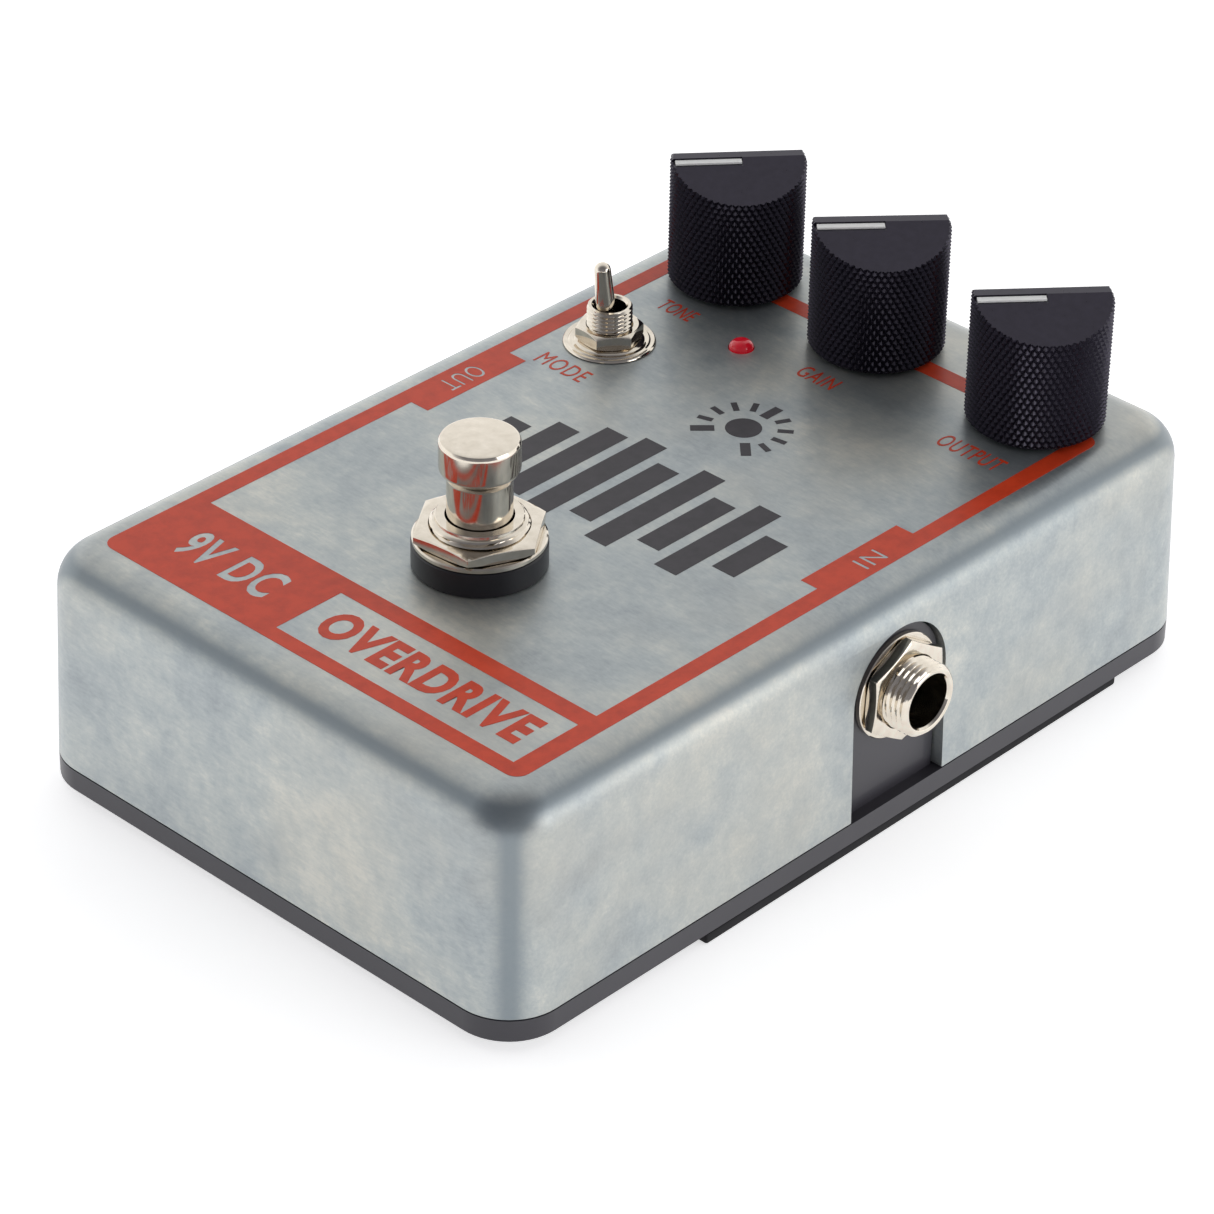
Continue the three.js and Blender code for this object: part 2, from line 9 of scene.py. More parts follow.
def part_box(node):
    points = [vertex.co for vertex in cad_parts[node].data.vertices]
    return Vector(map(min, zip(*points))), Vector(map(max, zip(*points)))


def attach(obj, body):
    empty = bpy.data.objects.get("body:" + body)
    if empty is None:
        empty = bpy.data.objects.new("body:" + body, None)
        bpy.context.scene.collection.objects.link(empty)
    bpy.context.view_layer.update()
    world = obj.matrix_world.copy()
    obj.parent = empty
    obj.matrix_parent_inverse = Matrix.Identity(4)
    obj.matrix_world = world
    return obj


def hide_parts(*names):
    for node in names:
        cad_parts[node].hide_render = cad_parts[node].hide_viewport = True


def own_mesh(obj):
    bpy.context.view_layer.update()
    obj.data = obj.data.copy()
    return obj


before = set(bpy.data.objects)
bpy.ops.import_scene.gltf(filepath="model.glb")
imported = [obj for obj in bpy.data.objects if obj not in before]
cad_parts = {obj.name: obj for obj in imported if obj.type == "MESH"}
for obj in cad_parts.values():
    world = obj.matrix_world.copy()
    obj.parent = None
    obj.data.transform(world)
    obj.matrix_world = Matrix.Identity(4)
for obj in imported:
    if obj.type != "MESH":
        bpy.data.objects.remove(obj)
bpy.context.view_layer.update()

# ---------------------------------------------------------------------------------------------
# Camera: a long lens from the player's right, looking down at the front corner.
# Its place is in metres and its turns in degrees; the focal length is for a 36 mm wide sensor.
camera = bpy.data.objects.new("camera", bpy.data.cameras.new("camera"))
bpy.context.scene.collection.objects.link(camera)
camera.location = (0.3342, -0.3601, 0.3342)
camera.rotation_euler = [math.radians(turn) for turn in (56.963, -0.854, 43.715)]
camera.data.sensor_width = 36
camera.data.lens = 141.4
camera.data.clip_start = 0.01
bpy.context.scene.camera = camera

# ---------------------------------------------------------------------------------------------
# Base tray: pressed black-enamelled steel, with a rim that the housing stands on and three ears
# that rise behind the housing's slots and carry the sockets. The ears are folded up from the floor.
MM = 0.001


def corners(node):
    """The lowest and highest corners of a solid, in millimetres."""
    return [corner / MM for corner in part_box(node)]


def middle(node):
    """The middle of a solid, in millimetres."""
    low, high = corners(node)
    return (low + high) / 2


housing_low, housing_high = corners("housing")
WIDTH = housing_high.x - housing_low.x
LENGTH = housing_high.y - housing_low.y
SEAM_Z = housing_low.z
TOP_Z = housing_high.z
TRAY_LOW = corners("base_tray")[0].z
CORNER = 7.4


def new_object(name, data):
    """An object in the scene with the given mesh, curve or light."""
    obj = bpy.data.objects.new(name, data)
    bpy.context.scene.collection.objects.link(obj)
    return obj


def mesh_of(name, vertices, faces):
    """A mesh with its doubles merged and its faces turned outwards, in millimetres."""
    mesh = bpy.data.meshes.new(name)
    mesh.from_pydata([tuple(v) for v in vertices], [], faces)
    work = bmesh.new()
    work.from_mesh(mesh)
    bmesh.ops.remove_doubles(work, verts=work.verts, dist=1e-5)
    bmesh.ops.recalc_face_normals(work, faces=work.faces)
    work.to_mesh(mesh)
    work.free()
    return mesh


def rounded_outline(width, length, radius, steps=14):
    """Points round a rectangle with round corners, anticlockwise from the front right corner."""
    points = []
    for quarter, (sx, sy) in enumerate(((1, 1), (-1, 1), (-1, -1), (1, -1))):
        for step in range(steps + 1):
            turn = (quarter + step / steps) * math.pi / 2
            x = sx * (width / 2 - radius) + radius * math.cos(turn)
            y = sy * (length / 2 - radius) + radius * math.sin(turn)
            points.append((x, y))
    return points


def stacked(name, rings):
    """A closed solid through rings of equal count, each a list of points, low to high."""
    count = len(rings[0])
    vertices = [point for ring in rings for point in ring]
    faces = [tuple(reversed(range(count)))]
    for level in range(len(rings) - 1):
        low = level * count
        for i in range(count):
            j = (i + 1) % count
            faces.append((low + i, low + j, low + count + j, low + count + i))
    faces.append(tuple(range((len(rings) - 1) * count, len(rings) * count)))
    return mesh_of(name, vertices, faces)


def slab(name, width, length, radius, low, high, edge=0.0):
    """A plate with round corners, its lower edge eased by `edge`."""
    levels = [(low, edge), (low + edge, 0.0), (high, 0.0)] if edge else [(low, 0.0), (high, 0.0)]
    rings = []
    for z, inset in levels:
        outline = rounded_outline(width - 2 * inset, length - 2 * inset, radius - inset)
        rings.append([(x, y, z) for x, y in outline])
    return stacked(name, rings)


def turned(name, profile, sides=64):
    """A solid turned about Z from (radius, z) pairs: they start and end on the axis, or close."""
    vertices, faces = [], []
    for radius, z in profile:
        for i in range(sides):
            turn = 2 * math.pi * i / sides
            vertices.append((radius * math.cos(turn), radius * math.sin(turn), z))
    closed = profile[0][0] > 0
    count = len(profile)
    for level in range(count if closed else count - 1):
        low, high = level * sides, ((level + 1) % count) * sides
        for i in range(sides):
            j = (i + 1) % sides
            faces.append((low + i, low + j, high + j, high + i))
    return mesh_of(name, vertices, faces)


def rod(radius, low, high, sides=64):
    return turned("rod", [(0, low), (radius, low), (radius, high), (0, high)], sides)


def block(size, centre):
    """A box in millimetres."""
    work = bmesh.new()
    bmesh.ops.create_cube(work, size=1)
    bmesh.ops.scale(work, vec=size, verts=work.verts)
    bmesh.ops.translate(work, vec=centre, verts=work.verts)
    mesh = bpy.data.meshes.new("block")
    work.to_mesh(mesh)
    work.free()
    return mesh


def arch(width, bottom, centre, low, high, turn, along, steps=32):
    """A round-topped upright slab between two distances out from the middle, facing along turn."""
    half = width / 2
    outline = [(-half, bottom), (half, bottom)]
    for step in range(steps + 1):
        angle = math.pi * step / steps
        outline.append((half * math.cos(angle), centre + half * math.sin(angle)))
    spin = Matrix.Rotation(turn, 4, "Z")
    rings = []
    for out in (low, high):
        rings.append([spin @ Vector((out, along + y, z)) for y, z in outline])
    return stacked("arch", rings)


def evaluated(obj):
    """The plain mesh that an object's modifiers give."""
    bpy.context.view_layer.update()
    ready = obj.evaluated_get(bpy.context.evaluated_depsgraph_get())
    mesh = bpy.data.meshes.new_from_object(ready)
    bpy.data.objects.remove(obj)
    return mesh


def carved(name, mesh, joined=(), cut=(), kept=(), edge=0.0, angle=38):
    """A solid joined to, cut by or kept inside other solids, with its sharp edges rounded."""
    obj = new_object(name, mesh)
    tools = []
    for operation, meshes in (("UNION", joined), ("DIFFERENCE", cut), ("INTERSECT", kept)):
        for tool_mesh in meshes:
            tools.append(new_object("tool", tool_mesh))
            modifier = obj.modifiers.new("carve", "BOOLEAN")
            modifier.operation = operation
            modifier.object = tools[-1]
            modifier.solver = "EXACT"
    if edge:
        modifier = obj.modifiers.new("edge", "BEVEL")
        modifier.width = edge
        modifier.segments = 2
        modifier.limit_method = "ANGLE"
        modifier.angle_limit = math.radians(angle)
    made = evaluated(obj)
    for tool in tools:
        bpy.data.objects.remove(tool)
    made.name = name
    return made


def settle(name, mesh, material, place=Matrix.Identity(4), sharp=38):
    """A finished object at the origin, its place in its mesh, turned from millimetres to metres."""
    mesh.transform(Matrix.Scale(MM, 4) @ place)
    mesh.shade_smooth()
    mesh.set_sharp_from_angle(angle=math.radians(sharp))
    obj = new_object(name, mesh)
    mesh.materials.clear()
    mesh.materials.append(material)
    modifier = obj.modifiers.new("shading", "WEIGHTED_NORMAL")
    modifier.keep_sharp = True
    shaded = evaluated(obj)
    shaded.name = name
    return new_object(name, shaded)


def srgb(code):
    """An sRGB hex colour as linear red, green, blue and alpha."""
    parts = [int(code[i:i + 2], 16) / 255 for i in (0, 2, 4)]
    linear = [c / 12.92 if c <= 0.04045 else ((c + 0.055) / 1.055) ** 2.4 for c in parts]
    return (*linear, 1.0)


def add(tree, kind, values=None, links=None, **settings):
    """Adds a node with its settings, its sockets' values and the outputs that feed them."""
    node = tree.nodes.new(kind)
    for name, value in settings.items():
        setattr(node, name, value)
    for key, value in (values or {}).items():
        node.inputs[key].default_value = value
    for key, output in (links or {}).items():
        tree.links.new(output, node.inputs[key])
    return node


def new_material(name, values):
    """A material, its tree, its Principled shader and the object's own coordinates."""
    material = bpy.data.materials.new(name)
    material.use_nodes = True
    tree = material.node_tree
    tree.nodes.clear()
    shader = add(tree, "ShaderNodeBsdfPrincipled", values)
    add(tree, "ShaderNodeOutputMaterial", links={"Surface": shader.outputs[0]})
    return material, tree, shader, add(tree, "ShaderNodeTexCoord").outputs["Object"]


def grain(size):
    """The scale of a noise whose marks are about this size in millimetres."""
    return 1 / (size * MM)


def toned(tree, shader, pattern, dark, light):
    """Colours a surface between two tones by a pattern."""
    tone = add(tree, "ShaderNodeValToRGB", links={"Fac": pattern.outputs["Fac"]})
    tone.color_ramp.elements[0].color = srgb(dark)
    tone.color_ramp.elements[1].color = srgb(light)
    tree.links.new(tone.outputs["Color"], shader.inputs["Base Color"])


def relief(tree, shader, pattern, strength, depth):
    """Roughens a surface by a pattern, to a depth in millimetres."""
    raised = {"Height": pattern.outputs["Fac"]}
    bump = add(tree, "ShaderNodeBump", {"Strength": strength, "Distance": depth * MM}, raised)
    tree.links.new(bump.outputs["Normal"], shader.inputs["Normal"])


# Black stoving enamel on steel: satin, with a faint orange peel about 1 mm across.
enamel, tree, shader, place = new_material(
    "stoved_black_enamel", {"Roughness": 0.42, "Specular IOR Level": 0.5, "Coat Weight": 0.15}
)
cloud = add(tree, "ShaderNodeTexNoise", {"Scale": grain(11.11), "Detail": 3}, {"Vector": place})
toned(tree, shader, cloud, "2e2c33", "3a383f")
peel = add(tree, "ShaderNodeTexNoise", {"Scale": grain(0.909), "Detail": 2}, {"Vector": place})
relief(tree, shader, peel, 0.12, 0.05)

EAR_RECESS = 1.55
EAR_THICKNESS = 2.4
EAR_GAP = 0.3
EAR_FOOT = TRAY_LOW + 0.5
RIM = 2.6
RIM_TOP = SEAM_Z - 0.2
TRAY_FLOOR = 1.8
# A socket's wall faces along `turn` and stands `out` from the middle; the rest is its place on
# that wall, the width of the housing's slot and the radius drilled through the ear.
Socket = namedtuple("Socket", "turn out along height slot drill")
RIGHT, BACK, LEFT = 0.0, math.pi / 2, math.pi
input_centre = middle("input_socket_washer")
output_centre = middle("output_socket_washer")
POWER_Z = middle("power_socket_ring").z
INPUT = Socket(RIGHT, WIDTH / 2, input_centre.y, input_centre.z, 16.6, 5.0)
OUTPUT = Socket(LEFT, WIDTH / 2, -output_centre.y, output_centre.z, 16.6, 5.0)
POWER = Socket(BACK, LENGTH / 2, 0.0, POWER_Z, 15.0, 5.7)
SOCKETS = (INPUT, OUTPUT, POWER)
ears, drills = [], []
for jack in SOCKETS:
    face = jack.out - EAR_RECESS
    width = jack.slot - 2 * EAR_GAP
    ears.append(arch(width, EAR_FOOT, jack.height, face - EAR_THICKNESS, face, jack.turn, jack.along))
    drill = rod(jack.drill, jack.out - 8, jack.out + 4)
    lie = Matrix.Translation((0, jack.along, jack.height)) @ Matrix.Rotation(math.pi / 2, 4, "Y")
    drill.transform(Matrix.Rotation(jack.turn, 4, "Z") @ lie)
    drills.append(drill)
SCREWS = [middle(f"base_screw_{number}").xy for number in range(1, 5)]
for x, y in SCREWS:
    sink = turned("sink", [(0, -1), (3.2, -1), (3.2, 0.2), (1.7, 1.7), (1.7, 5), (0, 5)])
    sink.transform(Matrix.Translation((x, y, TRAY_LOW)))
    drills.append(sink)
plate = slab("tray", WIDTH, LENGTH, CORNER, TRAY_LOW, RIM_TOP, 0.15)
pocket_sizes = (WIDTH - 2 * RIM, LENGTH - 2 * RIM, CORNER - RIM)
pocket = slab("pocket", *pocket_sizes, TRAY_LOW + TRAY_FLOOR, SEAM_Z + 1)
tray_mesh = carved("tray_plate", plate, cut=[pocket])
tray_mesh = carved("base_tray_shell", tray_mesh, joined=ears, cut=drills, edge=0.22)
tray = settle("base_tray_shell", tray_mesh, enamel)
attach(tray, "enclosure")
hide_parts("base_tray")

# ---------------------------------------------------------------------------------------------
# Foot pad: moulded black rubber sheet, stuck under the tray, with a fine fabric-like grain.
rubber, tree, shader, place = new_material(
    "moulded_rubber", {"Roughness": 0.85, "Specular IOR Level": 0.35}
)
speck = add(tree, "ShaderNodeTexNoise", {"Scale": grain(2), "Detail": 4}, {"Vector": place})
toned(tree, shader, speck, "1b1a1c", "2b2a2d")
relief(tree, shader, speck, 0.4, 0.08)
pad_low, pad_high = corners("foot_pad")
PAD_BACK_WIDTH = 80.2
PAD_OUTLINE = (
    (pad_low.x, pad_low.y),
    (pad_high.x, pad_low.y),
    (PAD_BACK_WIDTH / 2, pad_high.y),
    (-PAD_BACK_WIDTH / 2, pad_high.y),
)
pad_mesh = stacked("pad", [[(x, y, z) for x, y in PAD_OUTLINE] for z in (pad_low.z, pad_high.z)])
pad = settle("rubber_foot_pad", carved("pad", pad_mesh, edge=0.3, angle=60), rubber)
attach(pad, "enclosure")
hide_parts("foot_pad")

# ---------------------------------------------------------------------------------------------
# Housing: die-cast zinc with drafted sides, round upper edges and three slots open to its lower
# edge. The bare metal is patinated to a cloudy blue-grey, and clear-lacquered over the print.
WALL = 1.8
EDGE = 4.8
DRAFT = math.tan(math.radians(1.6))
HEIGHT = TOP_Z - SEAM_Z


def drafted(name, width, length, corner, low, high, edge, steps=9):
    """A block from low to high above the seam: sides lean in, the upper edge is a quarter round."""
    levels = [(low, 0.0)]
    for step in range(steps + 1):
        turn = math.pi / 2 * step / steps
        levels.append((high - edge + edge * math.sin(turn), edge * (1 - math.cos(turn))))
    rings = []
    for z, inset in levels:
        outline = rounded_outline(width - 2 * inset, length - 2 * inset, corner - inset)
        lean_x = 1 - DRAFT * z / (width / 2)
        lean_y = 1 - DRAFT * z / (length / 2)
        rings.append([(x * lean_x, y * lean_y, z + SEAM_Z) for x, y in outline])
    return stacked(name, rings)


def upright(radius, low, high, x, y, sides=48):
    """A cutter or post standing at x and y."""
    mesh = rod(radius, low, high, sides)
    mesh.transform(Matrix.Translation((x, y, 0)))
    return mesh


POST = 3.6
TAPPED = 1.65
POTS = {control: middle(f"pot_nut_{control}").xy for control in ("tone", "gain", "output")}
SWITCH = middle("footswitch_spacer").xy
TOGGLE = middle("toggle_washer").xy
LAMP = middle("indicator_lens").xy
# Each drilled hole in the top: its radius and its place.
DRILLED = [(3.7, pot) for pot in POTS.values()] + [(6.3, SWITCH), (3.25, TOGGLE), (1.7, LAMP)]
outside = drafted("outside", WIDTH, LENGTH, CORNER, 0, HEIGHT, EDGE)
room_sizes = (WIDTH - 2 * WALL, LENGTH - 2 * WALL, CORNER - WALL)
room = drafted("room", *room_sizes, -2, HEIGHT - WALL, EDGE - WALL)
room = carved("room", room, cut=[upright(POST, SEAM_Z - 5, TOP_Z, x, y) for x, y in SCREWS])
holes = [upright(TAPPED, SEAM_Z - 1, TOP_Z - 4.5, x, y) for x, y in SCREWS]
holes += [upright(radius, TOP_Z - 4, TOP_Z + 1, x, y) for radius, (x, y) in DRILLED]
for jack in SOCKETS:
    low, high = jack.out - 6, jack.out + 2
    holes.append(arch(jack.slot, SEAM_Z - 1, jack.height, low, high, jack.turn, jack.along))
shell = carved("housing_shell", outside, cut=[room, *holes], edge=0.3, angle=50)

# Patinated zinc: broad clouds 15 to 40 mm across, mottling of about 3 mm and short fine brush
# marks, all low in contrast, lacquered semi-gloss. Where the casting is rounded it is painted darker: a
# painted reflection of the dim room.
zinc, tree, shader, place = new_material(
    "patinated_zinc", {"Metallic": 0.75, "Coat Weight": 0.25, "Coat Roughness": 0.18}
)
cloud_shape = {"Scale": grain(21.74), "Detail": 7, "Roughness": 0.68, "Distortion": 0.25}
clouds = add(tree, "ShaderNodeTexNoise", cloud_shape, {"Vector": place})
mottle_shape = {"Scale": grain(3.125), "Detail": 6, "Roughness": 0.7}
mottle = add(tree, "ShaderNodeTexNoise", mottle_shape, {"Vector": place})
slant_shape = {"Rotation": (0.5, 0.6, 0.7), "Scale": (600, 2400, 2400)}
slant = add(tree, "ShaderNodeMapping", slant_shape, {"Vector": place})
brush_shape = {"Scale": 1.0, "Detail": 3, "Roughness": 0.7}
brushed = add(tree, "ShaderNodeTexNoise", brush_shape, {"Vector": slant.outputs[0]})
mixed = add(tree, "ShaderNodeMath", {1: 0.27}, {0: mottle.outputs["Fac"]}, operation="MULTIPLY")
for share, pattern in ((0.18, brushed), (0.55, clouds)):
    summed = {0: pattern.outputs["Fac"], 2: mixed.outputs[0]}
    mixed = add(tree, "ShaderNodeMath", {1: share}, summed, operation="MULTIPLY_ADD")
cloudy = add(tree, "ShaderNodeValToRGB", links={"Fac": mixed.outputs[0]})
ends = cloudy.color_ramp.elements
ends[0].position, ends[0].color = 0.38, srgb("9aa1a5")
ends[1].position, ends[1].color = 0.63, srgb("d0d0c9")
for position, code in ((0.46, "a9b0b2"), (0.54, "b9bebc")):
    ends.new(position).color = srgb(code)
stain_shape = {"Scale": grain(41.67), "Detail": 4, "Roughness": 0.6}
stain = add(tree, "ShaderNodeTexNoise", stain_shape, {"Vector": place})
warm_range = {"From Min": 0.48, "From Max": 0.7, "To Max": 0.42}
warmth = add(tree, "ShaderNodeMapRange", warm_range, {"Value": stain.outputs["Fac"]})
under = {"Fac": warmth.outputs[0], "Color1": cloudy.outputs[0]}
cloudy = add(tree, "ShaderNodeMixRGB", {"Color2": srgb("bdb7aa")}, under)
# How squarely the surface faces along X, Y or Z: it is least on the rounded corners and edges.
facing = add(tree, "ShaderNodeTexCoord").outputs["Normal"]
facing = add(tree, "ShaderNodeVectorMath", links={0: facing}, operation="ABSOLUTE").outputs[0]
along = add(tree, "ShaderNodeSeparateXYZ", links={0: facing}).outputs
square = add(tree, "ShaderNodeMath", links={0: along[0], 1: along[1]}, operation="MAXIMUM").outputs[0]
square = add(tree, "ShaderNodeMath", links={0: square, 1: along[2]}, operation="MAXIMUM").outputs[0]
round_range = {"From Min": 0.93, "From Max": 0.74, "To Min": 0.0, "To Max": 0.85}
rounded = add(
    tree, "ShaderNodeMapRange", round_range, {"Value": square}, interpolation_type="SMOOTHSTEP"
)
# Painted shade: the rounded corners and edges are darkened towards 808a90, standing for the dim reflections
# there.
under = {"Fac": rounded.outputs[0], "Color1": cloudy.outputs[0]}
painted_edge_shade = add(tree, "ShaderNodeMixRGB", {"Color2": srgb("808a90")}, under)
tree.links.new(painted_edge_shade.outputs[0], shader.inputs["Base Color"])
worn = add(tree, "ShaderNodeMapRange", {"To Min": 0.36, "To Max": 0.5}, {"Value": mottle.outputs["Fac"]})
tree.links.new(worn.outputs["Result"], shader.inputs["Roughness"])
relief(tree, shader, brushed, 0.12, 0.02)
housing = settle("zinc_housing", shell, zinc, sharp=42)
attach(housing, "enclosure")
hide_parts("housing")

# ---------------------------------------------------------------------------------------------
# Print on the top: two screen-printed inks, a few hundredths of a millimetre thick. The orange
# frame has tabs for the sockets, a clear name panel, and letters left as bare metal.
INK_LOW = TOP_Z - 0.02
INK_HIGH = TOP_Z + 0.03


def sheet_box(x0, y0, x1, y1, low=INK_LOW, high=INK_HIGH):
    return block((x1 - x0, y1 - y0, high - low), ((x0 + x1) / 2, (y0 + y1) / 2, (low + high) / 2))


def lettering(words, box, turn=0.0, weight=0.0, low=INK_LOW, high=INK_HIGH):
    """Letters stretched to fill a box on the top, thickened by weight and read along turn."""
    curve = bpy.data.curves.new("letters", "FONT")
    curve.body = words
    curve.offset = weight
    curve.space_character = 1.12
    curve.resolution_u = 4
    curve.extrude = 0.5
    mesh = evaluated(new_object("letters", curve))
    mesh.transform(Matrix.Rotation(turn, 4, "Z"))
    xs = [v.co.x for v in mesh.vertices]
    ys = [v.co.y for v in mesh.vertices]
    x0, y0, x1, y1 = box
    fit = Matrix.Diagonal((
        (x1 - x0) / (max(xs) - min(xs)), (y1 - y0) / (max(ys) - min(ys)), high - low, 1,
    ))
    own_centre = Vector(((min(xs) + max(xs)) / 2, (min(ys) + max(ys)) / 2, 0))
    centre = Vector(((x0 + x1) / 2, (y0 + y1) / 2, (low + high) / 2))
    mesh.transform(Matrix.Translation(centre) @ fit @ Matrix.Translation(-own_centre))
    return mesh_of("letters", [v.co for v in mesh.vertices], [tuple(p.vertices) for p in mesh.polygons])


INK_FINISH = {"Roughness": 0.42, "Specular IOR Level": 0.3, "Coat Weight": 0.1, "Coat Roughness": 0.2}


def ink(name, code, darker):
    """Screen ink: satin, a little uneven over a millimetre or two where it lies on metal."""
    material, tree, shader, place = new_material(name, INK_FINISH)
    uneven_shape = {"Scale": grain(2.381), "Detail": 5, "Roughness": 0.65}
    uneven = add(tree, "ShaderNodeTexNoise", uneven_shape, {"Vector": place})
    tone = add(tree, "ShaderNodeValToRGB", links={"Fac": uneven.outputs["Fac"]})
    tone.color_ramp.elements[0].position = 0.3
    tone.color_ramp.elements[0].color = srgb(darker)
    tone.color_ramp.elements[1].position = 0.6
    tone.color_ramp.elements[1].color = srgb(code)
    tree.links.new(tone.outputs["Color"], shader.inputs["Base Color"])
    return material


orange_ink = ink("orange_screen_ink", "dd4520", "c93a19")
dark_ink = ink("dark_screen_ink", "3b373d", "302d33")
FRAME_WIDTH = 69
FRAME_FRONT, FRAME_BACK = -54.4, 47.6
WINDOW_FRONT, WINDOW_BACK = -39.25, 44.8
# What is left clear in the orange, by left, front, right and back: the window, the name panel, and
# the window's extra width beside each tab.
CLEAR = (
    (-29.1, WINDOW_FRONT, 29.4, WINDOW_BACK),
    (-6.6, -52.2, 31.75, -41.9),
    (29, WINDOW_FRONT, 32, -2),
    (29, 15.1, 32, WINDOW_BACK),
    (-32, WINDOW_FRONT, -29, -5.7),
    (-32, 11.6, -29, WINDOW_BACK),
)
THROUGH = {"low": INK_LOW - 1, "high": INK_HIGH + 1}
outline = rounded_outline(FRAME_WIDTH, FRAME_BACK - FRAME_FRONT, 1.8, 6)
shift = (FRAME_FRONT + FRAME_BACK) / 2
field = stacked("field", [[(x, y + shift, z) for x, y in outline] for z in (INK_LOW, INK_HIGH)])
cuts = [sheet_box(*panel, **THROUGH) for panel in CLEAR]
cuts.append(lettering("9V DC", (-27.8, -49.7, -12.4, -43.8), weight=0.028, **THROUGH))
cuts.append(lettering("IN", (30.9, 5.3, 33.4, 9.1), math.pi / 2, **THROUGH))
cuts.append(lettering("OUT", (-33.2, -0.1, -30.3, 6.2), -math.pi / 2, **THROUGH))
cuts += [upright(3.9, x=pot.x, y=pot.y, **THROUGH) for pot in POTS.values()]
field = carved("orange_frame", field, cut=cuts)


def joined_mesh(name, meshes):
    work = bmesh.new()
    for mesh in meshes:
        work.from_mesh(mesh)
    made = bpy.data.meshes.new(name)
    work.to_mesh(made)
    work.free()
    return made


# Each printed word, the box that it fills, and how much its strokes are thickened.
LABELS = (
    ("OVERDRIVE", (-3.7, -49.8, 29.25, -44.0), 0.045),
    ("MODE", (-28.7, 12.4, -20.75, 15.3), 0.0),
    ("TONE", (-27.2, 33.25, -21.6, 36.0), 0.004),
    ("GAIN", (-3.25, 33.2, 2.6, 36.0), 0.004),
    ("OUTPUT", (20.1, 32.8, 29.7, 35.75), 0.004),
)
letters = [lettering(words, box, weight=weight) for words, box, weight in LABELS]
orange_print = settle("orange_print", joined_mesh("orange_print", [field, *letters]), orange_ink, sharp=30)

# Dark print: a level display of heavy bars, and a dial scale of ticks above it.
BAR_HEIGHTS = (6.0, 12.5, 19.0, 22.1, 15.5, 21.0, 13.5, 18.5, 9.5)
BAR_WIDTH, BAR_PITCH = 3.5, 5.1
MARKS_X = 1.3
BARS_Y = -2.35
DIAL_Y = 18.9
DIAL_TICKS = 11
DIAL_SWEEP = 270
marks = []
for i, height in enumerate(BAR_HEIGHTS):
    x = MARKS_X + BAR_PITCH * (i - (len(BAR_HEIGHTS) - 1) / 2)
    half = BAR_WIDTH / 2
    marks.append(sheet_box(x - half, BARS_Y - height / 2, x + half, BARS_Y + height / 2))
for i in range(DIAL_TICKS):
    turn = math.radians(DIAL_SWEEP * (i / (DIAL_TICKS - 1) - 0.5))
    inner, outer, width = (3.6, 6.6, 1.3) if i % 5 == 0 else (4.2, 6.2, 0.8)
    tick = sheet_box(-width / 2, inner, width / 2, outer)
    tick.transform(Matrix.Translation((MARKS_X, DIAL_Y, 0)) @ Matrix.Rotation(-turn, 4, "Z"))
    marks.append(tick)
marks.append(upright(2.3, INK_LOW, INK_HIGH, MARKS_X, DIAL_Y))
dark_print = settle("dark_print", joined_mesh("dark_print", marks), dark_ink, sharp=30)
for piece, slot in ((orange_print, "orange_ink"), (dark_print, "dark_ink")):
    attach(piece, "enclosure")

# ---------------------------------------------------------------------------------------------
# Control pots: the cans hang under the top; each threaded bushing comes through and takes a
# nickel-plated nut and a washer. Mostly hidden under the knobs, so the turned shapes stay.
#
# Nickel plate: bright and slightly warm, with faint waves under 2 mm long that soften reflections.
nickel, tree, shader, place = new_material("nickel_plate", {"Metallic": 1.0})
haze = add(tree, "ShaderNodeTexNoise", {"Scale": grain(1.4286), "Detail": 4}, {"Vector": place})
toned(tree, shader, haze, "cec4b4", "efe7da")
gloss = add(tree, "ShaderNodeMapRange", {"To Min": 0.06, "To Max": 0.16}, {"Value": haze.outputs["Fac"]})
tree.links.new(gloss.outputs["Result"], shader.inputs["Roughness"])
relief(tree, shader, haze, 0.05, 0.03)

# Zinc-plated steel: pressed or turned, duller than nickel, with a fine speckle under a millimetre.
steel, tree, shader, place = new_material("zinc_plated_steel", {"Metallic": 1.0, "Roughness": 0.34})
scratch = add(tree, "ShaderNodeTexNoise", {"Scale": grain(0.6667), "Detail": 3}, {"Vector": place})
toned(tree, shader, scratch, "9a9da2", "c4c7ca")


def finish_node(name, material):
    """Gives a carried-over solid its finish."""
    obj = bpy.data.objects[name]
    for slot in obj.material_slots:
        slot.material = material


for number in range(1, 5):
    finish_node(f"base_screw_{number}", steel)
for control in POTS:
    finish_node(f"pot_nut_{control}", nickel)
    for steel_piece in ("body", "washer", "shaft"):
        finish_node(f"pot_{steel_piece}_{control}", steel)

# ---------------------------------------------------------------------------------------------
# Knobs: turned aluminium with a rolled diamond knurl, black anodised. The top is milled to a
# ridge: a long slope on one side, a short one behind, and a step that holds the white pointer.
KNOB_RADIUS = 8.8
KNOB_LOW, KNOB_HIGH = 0.5, 17.6
KNOB_TURNS = {"tone": 49.0, "gain": 47.5, "output": 48.3}
LONG_SLOPE, SHORT_SLOPE = 16.5, 37
RIDGE = 1.5
KNURLS = 60
KNURL_HEIGHT = 1.5
KNURL_DEPTH = 0.42


